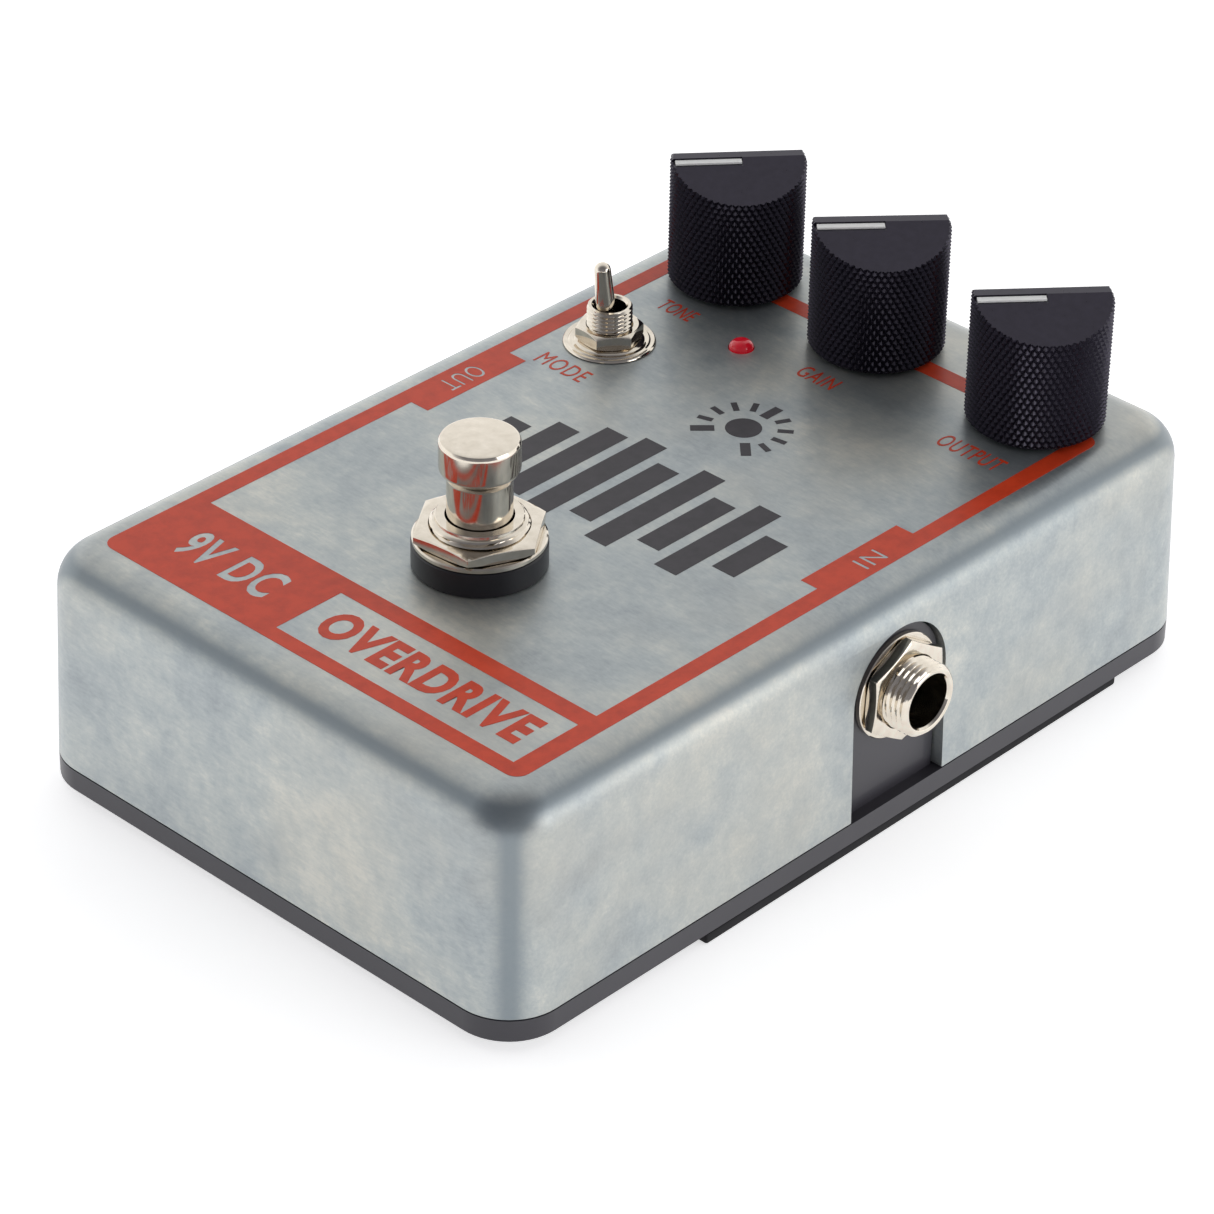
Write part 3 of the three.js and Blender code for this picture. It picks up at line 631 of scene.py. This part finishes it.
def grid_tree(name, sizes):
    """A node group that wraps a grid round Z: gives the tree, its inputs, and each point's place."""
    tree = bpy.data.node_groups.new(name, "GeometryNodeTree")
    tree.interface.new_socket("Geometry", in_out="OUTPUT", socket_type="NodeSocketGeometry")
    for size, kind in sizes.items():
        tree.interface.new_socket(size, in_out="INPUT", socket_type=kind)
    inputs = add(tree, "NodeGroupInput").outputs
    counts = {"Vertices X": inputs["Columns"], "Vertices Y": inputs["Rows"]}
    grid = add(tree, "GeometryNodeMeshGrid", links=counts)
    index = add(tree, "GeometryNodeInputIndex").outputs[0]
    across = add(tree, "ShaderNodeMath", links={0: index, 1: inputs["Rows"]}, operation="DIVIDE")
    column = add(tree, "ShaderNodeMath", links={0: across.outputs[0]}, operation="FLOOR").outputs[0]
    row = add(tree, "ShaderNodeMath", links={0: index, 1: inputs["Rows"]}, operation="MODULO").outputs[0]
    return tree, inputs, grid, column, row


def wrapped(tree, inputs, grid, column, row, radius):
    """Ends a grid tree: bends the grid to a closed solid whose end rows shrink to the axis."""
    def calc(operation, *values):
        node = add(tree, "ShaderNodeMath", operation=operation)
        for socket, value in enumerate(values):
            if isinstance(value, (int, float)):
                node.inputs[socket].default_value = value
            else:
                tree.links.new(value, node.inputs[socket])
        return node.outputs[0]

    turn = calc("MULTIPLY", calc("DIVIDE", column, calc("SUBTRACT", inputs["Columns"], 1)), 2 * math.pi)
    last = calc("SUBTRACT", inputs["Rows"], 1)
    level = calc("SUBTRACT", calc("MINIMUM", calc("MAXIMUM", row, 1), calc("SUBTRACT", last, 1)), 1)
    above_first = calc("GREATER_THAN", row, 0.5)
    below_last = calc("LESS_THAN", row, calc("SUBTRACT", last, 0.5))
    out = calc("MULTIPLY", radius(calc, turn, level), calc("MULTIPLY", above_first, below_last))
    x = calc("MULTIPLY", out, calc("COSINE", turn))
    y = calc("MULTIPLY", out, calc("SINE", turn))
    z = calc("ADD", inputs["Low"], calc("MULTIPLY", level, inputs["Step"]))
    spot = add(tree, "ShaderNodeCombineXYZ", links={0: x, 1: y, 2: z}).outputs[0]
    flat = grid.outputs["Mesh"]
    bent = add(tree, "GeometryNodeSetPosition", links={"Geometry": flat, "Position": spot}).outputs[0]
    welded = add(tree, "GeometryNodeMergeByDistance", {"Distance": 0.002}, {"Geometry": bent})
    split = add(
        tree, "GeometryNodeTriangulate", links={"Mesh": welded.outputs[0]}, quad_method="SHORTEST_DIAGONAL"
    )
    finished(tree, split.outputs[0], inputs["Material"])


def finished(tree, geometry, material):
    """Ends a tree: makes its instances real and gives them their material."""
    real = add(tree, "GeometryNodeRealizeInstances", links={"Geometry": geometry}).outputs[0]
    coated = add(tree, "GeometryNodeSetMaterial", links={"Geometry": real, "Material": material})
    add(tree, "NodeGroupOutput", links={0: coated.outputs[0]})


GRID_SIZES = {
    "Columns": "NodeSocketInt",
    "Rows": "NodeSocketInt",
    "Low": "NodeSocketFloat",
    "Step": "NodeSocketFloat",
    "Radius": "NodeSocketFloat",
    "Depth": "NodeSocketFloat",
    "Material": "NodeSocketMaterial",
}
knurl_tree, inputs, grid, column, row = grid_tree("diamond_knurl", GRID_SIZES)
parity = add(knurl_tree, "ShaderNodeMath", links={0: column, 1: row}, operation="ADD").outputs[0]
odd = add(knurl_tree, "ShaderNodeMath", {1: 2}, {0: parity}, operation="MODULO").outputs[0]


def knurl_radius(calc, turn, level):
    """Every other crossing of the grid stands up as the point of a diamond."""
    return calc("SUBTRACT", inputs["Radius"], calc("MULTIPLY", inputs["Depth"], odd))


wrapped(knurl_tree, inputs, grid, column, row, knurl_radius)


def grown(tree, name, values):
    """The plain closed mesh that a tree makes from the given sizes."""
    obj = new_object(name, bpy.data.meshes.new(name))
    modifier = obj.modifiers.new("grow", "NODES")
    modifier.node_group = tree
    for item in tree.interface.items_tree:
        if item.in_out == "INPUT":
            modifier[item.identifier] = values[item.name]
    mesh = evaluated(obj)
    work = bmesh.new()
    work.from_mesh(mesh)
    bmesh.ops.remove_doubles(work, verts=work.verts, dist=1e-4)
    bmesh.ops.dissolve_degenerate(work, edges=work.edges, dist=1e-5)
    bmesh.ops.recalc_face_normals(work, faces=work.faces)
    work.to_mesh(mesh)
    work.free()
    return mesh


# Black anodised aluminium: very dark, faintly violet, satin on the knurl and the milled faces.
anodised, tree, shader, place = new_material(
    "black_anodised_aluminium", {"Metallic": 0.6, "Specular IOR Level": 0.6}
)
fine = add(tree, "ShaderNodeTexNoise", {"Scale": grain(1.1111), "Detail": 3}, {"Vector": place})
toned(tree, shader, fine, "25212d", "35313f")
dull = add(tree, "ShaderNodeMapRange", {"To Min": 0.24, "To Max": 0.36}, {"Value": fine.outputs["Fac"]})
tree.links.new(dull.outputs["Result"], shader.inputs["Roughness"])

# White paint filled into the step: matt, very slightly uneven.
paint, tree, shader, place = new_material("white_filler_paint", {"Roughness": 0.5})
fine = add(tree, "ShaderNodeTexNoise", {"Scale": grain(0.5556), "Detail": 2}, {"Vector": place})
toned(tree, shader, fine, "e9e9e6", "fbfbf9")

knurl_sizes = {
    "Columns": 2 * KNURLS + 1,
    "Rows": 2 * round((KNOB_HIGH - KNOB_LOW) / KNURL_HEIGHT) + 5,
    "Low": KNOB_LOW - 0.2,
    "Step": KNURL_HEIGHT / 2,
    "Radius": KNOB_RADIUS + 0.02,
    "Depth": KNURL_DEPTH,
    "Material": anodised,
}


def wedge(slope, start, side):
    """The space above a plane that falls away on one side of the ridge."""
    mesh = block((40, 40, 20), (0, side * 20, 10))
    tilt = Matrix.Rotation(-side * math.radians(slope), 4, "X")
    mesh.transform(Matrix.Translation((0, start, KNOB_HIGH)) @ tilt)
    return mesh


for control, turn in KNOB_TURNS.items():
    barrel = grown(knurl_tree, "barrel", knurl_sizes)
    rim = turned("rim", [
        (0, KNOB_LOW), (KNOB_RADIUS - 0.45, KNOB_LOW), (KNOB_RADIUS + 0.1, KNOB_LOW + 0.55),
        (KNOB_RADIUS + 0.1, KNOB_HIGH - 0.5), (KNOB_RADIUS - 0.4, KNOB_HIGH), (0, KNOB_HIGH),
    ], 96)
    step = block((12, 2.5, 2), (-5.6, -1.21, KNOB_HIGH + 0.55))
    grub_hole = rod(1.6, 0, 12, 24)
    grub_hole.transform(Matrix.Translation((0, 1, 8.5)) @ Matrix.Rotation(-math.pi / 2, 4, "X"))
    slopes = [wedge(LONG_SLOPE, 0, -1), wedge(SHORT_SLOPE, RIDGE, 1)]
    hollow, shaft_bore = rod(6.7, 0, 4.4), rod(3.08, 3, 13.2)
    knob_mesh = carved(f"knob_{control}_turned", barrel, kept=[rim])
    knob_mesh = carved(
        f"knob_{control}_turned", knob_mesh, cut=[*slopes, step, hollow, shaft_bore, grub_hole]
    )
    at = Matrix.Translation((*POTS[control], TOP_Z)) @ Matrix.Rotation(math.radians(turn), 4, "Z")
    knob = settle(f"knurled_knob_{control}", knob_mesh, anodised, at, sharp=14)
    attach(knob, f"{control}_control")
    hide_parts(f"knob_{control}")
    finish_node(f"knob_pointer_{control}", paint)
    finish_node(f"knob_set_screw_{control}", steel)

# ---------------------------------------------------------------------------------------------
# Threads for the switches and sockets: rolled single-start threads, plated with the rest.
THREAD_SIZES = {**GRID_SIZES, "Pitch": "NodeSocketFloat"}
thread_tree, inputs, grid, column, row = grid_tree("rolled_thread", THREAD_SIZES)


def thread_radius(calc, turn, level):
    """A triangle wave that climbs one pitch in each turn."""
    climbed = calc("DIVIDE", calc("MULTIPLY", level, inputs["Step"]), inputs["Pitch"])
    phase = calc("SUBTRACT", climbed, calc("DIVIDE", turn, 2 * math.pi))
    wave = calc("PINGPONG", calc("MULTIPLY", phase, 2), 1.0)
    return calc("SUBTRACT", inputs["Radius"], calc("MULTIPLY", inputs["Depth"], wave))


wrapped(thread_tree, inputs, grid, column, row, thread_radius)


def threaded(radius, pitch, low, high, ends):
    """A threaded rod kept inside a turned outline given by its ends' profile."""
    step = pitch / 6
    sizes = {
        "Columns": 49, "Rows": int((high - low) / step) + 4, "Low": low - step / 2, "Step": step,
        "Radius": radius, "Depth": 0.61 * pitch, "Material": nickel, "Pitch": pitch,
    }
    return carved("threaded", grown(thread_tree, "thread", sizes), kept=[turned("ends", ends, 48)])


def hex_nut(across, bore, low, high, turn=0.0, ease=0.35):
    """A hexagon nut whose corners are turned off at both faces."""
    corner = across / 2 / math.cos(math.pi / 6)
    hexagon = rod(corner, low, high, 6)
    hexagon.transform(Matrix.Rotation(math.radians(turn), 4, "Z"))
    flat = across / 2 * 0.97
    lathe = turned("lathe", [
        (0, low - 0.01), (flat, low - 0.01), (corner + 0.05, low + ease), (corner + 0.05, high - ease),
        (flat, high + 0.01), (0, high + 0.01),
    ], 72)
    return carved("nut", hexagon, cut=[rod(bore, low - 1, high + 1)], kept=[lathe], edge=0.08, angle=25)


def mount(name, mesh, material, body, node, at, sharp=32):
    """Settles a piece that stands for one solid of the same part."""
    piece = settle(name, mesh, material, at, sharp)
    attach(piece, body)
    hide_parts(node)
    return piece


# ---------------------------------------------------------------------------------------------
# Mode toggle: a miniature switch on a quarter-inch thread, held by a nut over a domed dress
# washer; its bat lever leans to the front. Nickel plated, the body of blue plastic inside.
at = Matrix.Translation((*TOGGLE, TOP_Z))
bushing = threaded(2.95, 0.55, -2, 5.4, [
    (2.1, -3.1), (2.95, -3.1), (2.95, 5.1), (2.7, 5.4), (2.35, 5.4), (2.1, 5.1),
])
bracket = block((7.8, 13, 0.6), (0, 0, -2.4))
bushing = carved("bushing", bushing, joined=[carved("bracket", bracket, cut=[rod(2.15, -4, -1)])])
mount("toggle_threaded_bushing", bushing, nickel, "enclosure", "toggle_bushing", at)
dome = turned("dome", [
    (3.1, 0.05), (5.86, 0.05), (5.94, 0.14), (5.9, 0.27), (5.75, 0.4), (5.6, 0.4), (5.4, 0.3), (5.25, 0.3),
    (5.05, 0.46), (4.85, 0.46), (4.65, 0.36), (4.5, 0.36), (4.3, 0.52), (4.0, 0.6), (3.1, 0.6),
], 72)
mount("toggle_dress_washer", dome, nickel, "enclosure", "toggle_washer", at)
nut = hex_nut(7.6, 3.0, 0.65, 2.6, 52.2)
mount("toggle_hex_nut", nut, nickel, "enclosure", "toggle_nut", at)
bat = turned("bat", [
    (0, -1.9), (0.8, -1.8), (1.3, -1.5), (1.75, -0.8), (1.9, 0), (1.7, 0.8), (1.3, 1.4), (1.05, 2.0),
    (1.0, 2.4), (1.2, 5), (1.22, 8), (1.05, 12), (0.98, 12.35), (0.78, 12.62), (0.45, 12.82), (0, 12.9),
], 32)
PIVOT_Z, LEAN = -1, 7
lean = Matrix.Translation((0, 0, PIVOT_Z)) @ Matrix.Rotation(math.radians(LEAN), 4, "X")
mount("toggle_bat_lever", bat, nickel, "mode_lever", "toggle_lever", at @ lean)

# ---------------------------------------------------------------------------------------------
# Foot switch: a long 12 mm threaded bushing with a hex nut and washer on a black nylon spacer,
# and a turned brass button, waisted, all bright nickel. It is pressed about 2 mm.
at = Matrix.Translation((*SWITCH, TOP_Z))
bushing = threaded(6.0, 0.9, -9, 6.6, [
    (4.15, -9), (6, -9), (6, 5.9), (5.7, 6.2), (5.35, 6.3), (5.3, 6.6), (4.8, 7.1), (4.25, 7.0),
    (4.15, 6.8),
])
mount("footswitch_threaded_bushing", bushing, nickel, "enclosure", "footswitch_bushing", at)
nut = hex_nut(14.4, 6.05, 4, 5.5, 5.3)
mount("footswitch_hex_nut", nut, nickel, "enclosure", "footswitch_nut", at)
button = turned("button", [
    (0, -3.5), (3.95, -3.5), (3.95, 11.6), (4.05, 11.95), (4.62, 12.75), (4.82, 13.05), (4.87, 13.35),
    (4.87, 16.35), (4.82, 16.7), (4.65, 16.95), (4.35, 17.08), (0, 17.1),
], 96)
mount("footswitch_turned_button", button, nickel, "switch_button", "footswitch_button", at)
washer = turned("washer", [
    (6.1, 3.25), (7.85, 3.25), (8.05, 3.4), (8.05, 3.8), (7.85, 3.95), (6.1, 3.95),
], 96)
mount("footswitch_plain_washer", washer, nickel, "enclosure", "footswitch_washer", at)

# Black nylon: moulded, satin, dark to the edge.
nylon, tree, shader, place = new_material("black_nylon", {"Roughness": 0.36, "Specular IOR Level": 0.5})
fine = add(tree, "ShaderNodeTexNoise", {"Scale": grain(1.25), "Detail": 3}, {"Vector": place})
toned(tree, shader, fine, "131216", "1e1c22")
spacer = turned("spacer", [
    (6.3, 0.05), (8.0, 0.05), (8.15, 0.2), (8.15, 3.05), (8.0, 3.2), (6.3, 3.2),
], 96)
mount("footswitch_nylon_spacer", spacer, nylon, "enclosure", "footswitch_spacer", at)
finish_node("footswitch_inner_nut", nickel)

# Return spring inside the bushing: five turns of steel wire in a helix. The real spring closes up as
# the button goes down; here it keeps one length.
SPRING_LOW, SPRING_HIGH = -8.85, -3.7
SPRING_WIRE = 0.38
SPRING_RADIUS = 3.4
spring_tree = bpy.data.node_groups.new("wound_spring", "GeometryNodeTree")
spring_tree.interface.new_socket("Geometry", in_out="OUTPUT", socket_type="NodeSocketGeometry")
for size in ("Turns", "Radius", "Height", "Wire"):
    spring_tree.interface.new_socket(size, in_out="INPUT", socket_type="NodeSocketFloat")
spring_tree.interface.new_socket("Material", in_out="INPUT", socket_type="NodeSocketMaterial")
inputs = add(spring_tree, "NodeGroupInput").outputs
helix = {
    "Rotations": inputs["Turns"],
    "Start Radius": inputs["Radius"],
    "End Radius": inputs["Radius"],
    "Height": inputs["Height"],
}
coil = add(spring_tree, "GeometryNodeCurveSpiral", {"Resolution": 28}, helix)
section = add(
    spring_tree, "GeometryNodeCurvePrimitiveCircle", {"Resolution": 8}, {"Radius": inputs["Wire"]}
)
wound = add(
    spring_tree, "GeometryNodeCurveToMesh", {"Fill Caps": True},
    {"Curve": coil.outputs[0], "Profile Curve": section.outputs[0]},
)
finished(spring_tree, wound.outputs[0], inputs["Material"])
wire = grown(spring_tree, "spring", {
    "Turns": 5.0,
    "Radius": SPRING_RADIUS,
    "Height": SPRING_HIGH - SPRING_LOW - 2 * SPRING_WIRE,
    "Wire": SPRING_WIRE,
    "Material": steel,
})
wire.transform(Matrix.Translation((0, 0, SPRING_LOW + SPRING_WIRE)))
spring = mount("footswitch_wound_spring", wire, steel, "enclosure", "footswitch_spring", at)
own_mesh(spring)
finish_node("battery_snap", nylon)

# ---------------------------------------------------------------------------------------------
# Quarter-inch sockets: a 3/8 inch threaded sleeve through each ear, with a flat washer and a
# hexagon nut outside, nickel plated. The moulded body behind the ear is black plastic.
EAR_BACK = -EAR_RECESS - EAR_THICKNESS
for side, jack in (("input", INPUT), ("output", OUTPUT)):
    lie = Matrix.Translation((jack.out, jack.along, jack.height)) @ Matrix.Rotation(math.pi / 2, 4, "Y")
    at = Matrix.Rotation(jack.turn, 4, "Z") @ lie
    sleeve = threaded(4.76, 0.8, EAR_BACK, 4.2, [
        (3.5, EAR_BACK - 0.1), (4.76, EAR_BACK - 0.1), (4.76, 3.65), (4.3, 4.1), (4.15, 4.2), (3.95, 4.2),
        (3.7, 4.1), (3.5, 3.8),
    ])
    flange = turned("flange", [
        (3.5, EAR_BACK - 1.6), (6.6, EAR_BACK - 1.6), (6.6, EAR_BACK - 0.1), (3.5, EAR_BACK - 0.1),
    ], 48)
    sleeve = carved("sleeve", sleeve, joined=[flange])
    mount(f"{side}_threaded_sleeve", sleeve, nickel, "enclosure", f"{side}_socket_sleeve", at)
    ring = turned("ring", [
        (4.9, -1.5), (6.75, -1.5), (6.86, -1.4), (6.86, -0.85), (6.75, -0.75), (4.9, -0.75),
    ], 72)
    mount(f"{side}_flat_washer", ring, nickel, "enclosure", f"{side}_socket_washer", at)
    nut = hex_nut(12, 4.8, -0.7, 1, 117)
    mount(f"{side}_hex_nut", nut, nickel, "enclosure", f"{side}_socket_nut", at)

# Moulded black plastic: satin with a fine sparked grain of about half a millimetre.
plastic, tree, shader, place = new_material("moulded_black_plastic", {"Roughness": 0.5})
spark = add(tree, "ShaderNodeTexNoise", {"Scale": grain(0.5263), "Detail": 2}, {"Vector": place})
toned(tree, shader, spark, "18181b", "26262a")
relief(tree, shader, spark, 0.3, 0.05)
for node in ("input_socket_body", "output_socket_body"):
    finish_node(node, plastic)

# ---------------------------------------------------------------------------------------------
# Power socket on the back ear: a round moulded body with a plated ring nut and a centre pin.
at = Matrix.Translation((0, LENGTH / 2, POWER_Z)) @ Matrix.Rotation(-math.pi / 2, 4, "X")
barrel = turned("barrel", [
    (0, -14), (5.5, -14), (5.5, -0.7), (5.3, -0.5), (3.2, -0.5), (3, -0.7), (3, -9.6), (0, -9.6),
], 64)
flange = turned("flange", [
    (4, EAR_BACK - 1.6), (6.6, EAR_BACK - 1.6), (6.6, EAR_BACK - 0.1), (4, EAR_BACK - 0.1),
], 64)
barrel = carved("barrel", barrel, joined=[flange])
mount("power_socket_moulded_body", barrel, plastic, "enclosure", "power_socket_body", at)
ring = carved("ring", turned("ring", [
    (5.65, -1.5), (7, -1.5), (7, -0.5), (6.8, -0.3), (5.8, -0.3), (5.65, -0.45),
], 72), cut=[block((1.4, 15, 1.2), (0, 0, -0.2))])
mount("power_socket_ring_nut", ring, nickel, "enclosure", "power_socket_ring", at)
finish_node("power_socket_pin", nickel)

# ---------------------------------------------------------------------------------------------
# Indicator lamp: a small clear moulded lens of red acrylic, pushed up through its hole from inside
# and domed above the top. It is unlit; its faint red emission is a painted glow.
lens_red, tree, shader, place = new_material(
    "red_acrylic",
    {
        "Roughness": 0.06, "Transmission Weight": 0.2, "IOR": 1.49, "Coat Weight": 0.4,
        # Painted glow: a faint red emission, although the lamp is not lit.
        "Emission Strength": 0.12, "Emission Color": srgb("ff2030"),
    },
)
fleck = add(tree, "ShaderNodeTexNoise", {"Scale": grain(0.7692), "Detail": 3}, {"Vector": place})
toned(tree, shader, fleck, "c40d24", "f2304a")
lens = turned("lens", [
    (0, -5.4), (1.9, -5.4), (1.9, -4.4), (1.57, -4.4), (1.57, 0.15), (1.5, 0.45), (1.31, 0.73),
    (1.01, 0.97), (0.63, 1.13), (0.31, 1.2), (0, 1.22),
], 48)
at = Matrix.Translation((*LAMP, TOP_Z))
mount("domed_red_lens", lens, lens_red, "enclosure", "indicator_lens", at)

# ---------------------------------------------------------------------------------------------
# Works inside: the board, battery and its snap and leads, flat cable and switch bodies keep
# their own shapes and get plain moulded, laminated or insulated finishes.
# Each finish: its darker and lighter colour, its grain in millimetres, roughness and pieces.
INSIDE = (
    ("solder_masked_laminate", "1b5236", "256b47", 3.333, 0.4, ("circuit_board",)),
    ("printed_battery_film", "343944", "454b57", 8.333, 0.35, ("battery",)),
    ("red_pvc_insulation", "a31c1c", "bf2a2a", 1.667, 0.45, ("battery_lead_red",)),
    ("black_pvc_insulation", "121212", "1e1e1e", 1.667, 0.45, ("battery_lead_black",)),
    ("grey_ribbon_insulation", "85888c", "9a9da1", 1.667, 0.5, ("flat_cable",)),
    ("blue_moulded_phenolic", "24427a", "305293", 2, 0.45, ("toggle_body", "footswitch_body")),
)
for name, dark, light, speckle, rough, nodes in INSIDE:
    material, tree, shader, place = new_material(name, {"Roughness": rough})
    fine = add(tree, "ShaderNodeTexNoise", {"Scale": grain(speckle), "Detail": 3}, {"Vector": place})
    toned(tree, shader, fine, dark, light)
    for node in nodes:
        finish_node(node, material)

# ---------------------------------------------------------------------------------------------
# Studio: a plain pale sheet, faintly lit from below, in a white room with one large soft light.
pale, tree, shader, place = new_material(
    "pale_paper", {"Roughness": 0.9, "Emission Color": (1, 1, 1, 1), "Emission Strength": 0.62}
)
fibre = add(tree, "ShaderNodeTexNoise", {"Scale": grain(16.67), "Detail": 2}, {"Vector": place})
toned(tree, shader, fibre, "f3f3f3", "f7f7f7")
sheet = mesh_of("floor", [(-4, -4, 0), (4, -4, 0), (4, 4, 0), (-4, 4, 0)], [(0, 1, 2, 3)])
floor = new_object("floor", sheet)
floor.data.materials.append(pale)

# One square soft light, 0.7 m across, to the right of the pedal and aimed at it.
side_bank = bpy.data.lights.new("side_bank", "AREA")
side_bank.shape = "SQUARE"
side_bank.size = 0.7
side_bank.energy = 3
stand = new_object("side_bank", side_bank)
stand.location = (1.1, 0.35, 0.3)
aim = Vector((0, 0, 0.02)) - stand.location
stand.rotation_euler = aim.to_track_quat("-Z", "Y").to_euler()
world = bpy.data.worlds.new("studio")
world.use_nodes = True
bpy.context.scene.world = world
# The room: white all round, dimmer overhead and towards the front right.
tree = world.node_tree
sky = tree.nodes["Background"]
sky.inputs["Strength"].default_value = 1.0
direction = add(tree, "ShaderNodeTexCoord").outputs["Generated"]
NEAR_SIDE = (0.55, -0.58, 0.6)
ahead = add(
    tree, "ShaderNodeVectorMath", {1: NEAR_SIDE}, {0: direction}, operation="DOT_PRODUCT"
)
near_side = add(tree, "ShaderNodeValToRGB", links={"Fac": ahead.outputs["Value"]})
ends = near_side.color_ramp.elements
ends[0].position, ends[0].color = 0.25, (1.0, 1.0, 1.0, 1)
ends[1].position, ends[1].color = 0.75, (0.2, 0.2, 0.22, 1)
ends.new(0.45).color = (0.5, 0.5, 0.52, 1)
upward = add(tree, "ShaderNodeSeparateXYZ", links={0: direction}).outputs["Z"]
overhead = add(tree, "ShaderNodeValToRGB", links={"Fac": upward})
ends = overhead.color_ramp.elements
ends[0].position, ends[0].color = 0.05, (1.25, 1.25, 1.25, 1)
ends[1].position, ends[1].color = 0.95, (0.8, 0.8, 0.8, 1)
ends.new(0.5).color = (1.02, 1.02, 1.02, 1)
both = add(
    tree, "ShaderNodeMixRGB", {"Fac": 1.0}, {"Color1": near_side.outputs[0], "Color2": overhead.outputs[0]},
    blend_type="MULTIPLY",
)
tree.links.new(both.outputs[0], sky.inputs["Color"])
bpy.context.scene.view_settings.view_transform = "Standard"
